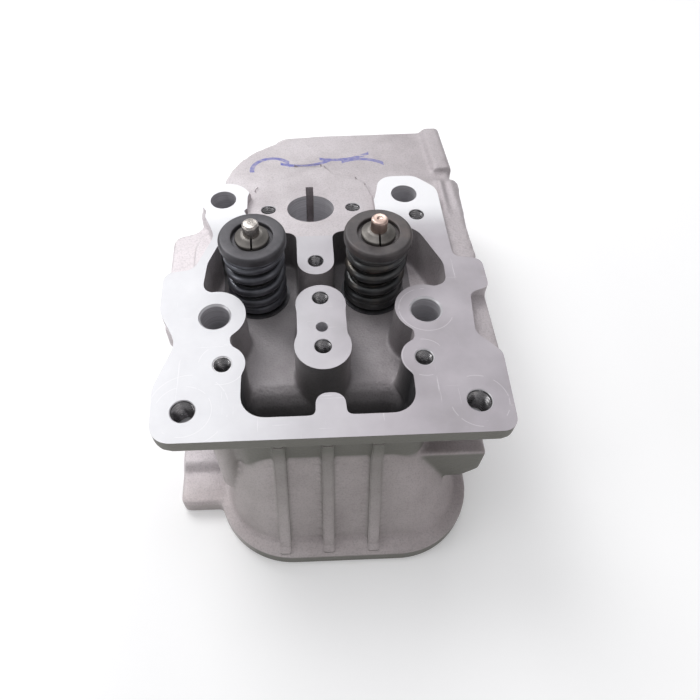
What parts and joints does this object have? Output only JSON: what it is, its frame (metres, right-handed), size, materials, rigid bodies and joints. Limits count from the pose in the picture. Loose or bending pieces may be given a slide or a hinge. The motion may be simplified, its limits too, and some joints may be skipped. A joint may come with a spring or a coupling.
{
  "type": "cylinder head",
  "caption": "Cylinder head of an air-cooled overhead-valve engine: rocker chamber, pushrod tunnel, injector bore, ports and sprung valves.",
  "frame": {"origin": "centre of the head bolt rectangle on the combustion face", "axes": "+Z from the combustion face up to the rocker cover face, +Y to the port side, -Y to the pushrod side"},
  "size_m": [0.1215, 0.1858, 0.0846],
  "materials": {
    "cast_aluminium": "as-cast with machined faces",
    "valve_steel": "ground",
    "seat_iron": "machined",
    "guide_iron": "machined",
    "clip_steel": "bright wire",
    "seal_rubber": "matte",
    "washer_steel": "hardened",
    "spring_steel": "black oxide",
    "retainer_steel": "dark phosphate",
    "collet_steel": "dark phosphate"
  },
  "bodies": {
    "head": {"head_casting": "cast_aluminium", "intake_seat_insert": "seat_iron", "intake_guide": "guide_iron", "intake_guide_clip": "clip_steel", "intake_stem_seal": "seal_rubber", "intake_spring_seat": "washer_steel", "exhaust_seat_insert": "seat_iron", "exhaust_guide": "guide_iron", "exhaust_guide_clip": "clip_steel", "exhaust_stem_seal": "seal_rubber", "exhaust_spring_seat": "washer_steel"},
    "intake_spring_pack": {"intake_spring": "spring_steel"},
    "intake_valve_set": {"intake_valve": "valve_steel", "intake_retainer": "retainer_steel", "intake_collet_left": "collet_steel", "intake_collet_right": "collet_steel"},
    "exhaust_spring_pack": {"exhaust_spring": "spring_steel"},
    "exhaust_valve_set": {"exhaust_valve": "valve_steel", "exhaust_retainer": "retainer_steel", "exhaust_collet_left": "collet_steel", "exhaust_collet_right": "collet_steel"}
  },
  "joints": [
    {"name": "intake_turn", "type": "hinge", "parent": "head", "child": "intake_spring_pack", "pos_m": [-0.0238, -0.005, 0.05], "axis": [0, 0, 1], "continuous": true},
    {"name": "intake_lift", "type": "slide", "parent": "intake_spring_pack", "child": "intake_valve_set", "axis": [0, 0, -1], "range_m": [0, 0.0065], "stiffness_N_per_m": 9000, "springref_m": -0.008, "deforming": ["intake_spring"]},
    {"name": "exhaust_turn", "type": "hinge", "parent": "head", "child": "exhaust_spring_pack", "pos_m": [0.0222, -0.005, 0.05], "axis": [0, 0, 1], "continuous": true},
    {"name": "exhaust_lift", "type": "slide", "parent": "exhaust_spring_pack", "child": "exhaust_valve_set", "axis": [0, 0, -1], "range_m": [0, 0.0065], "stiffness_N_per_m": 9000, "springref_m": -0.008, "deforming": ["exhaust_spring"]}
  ]
}
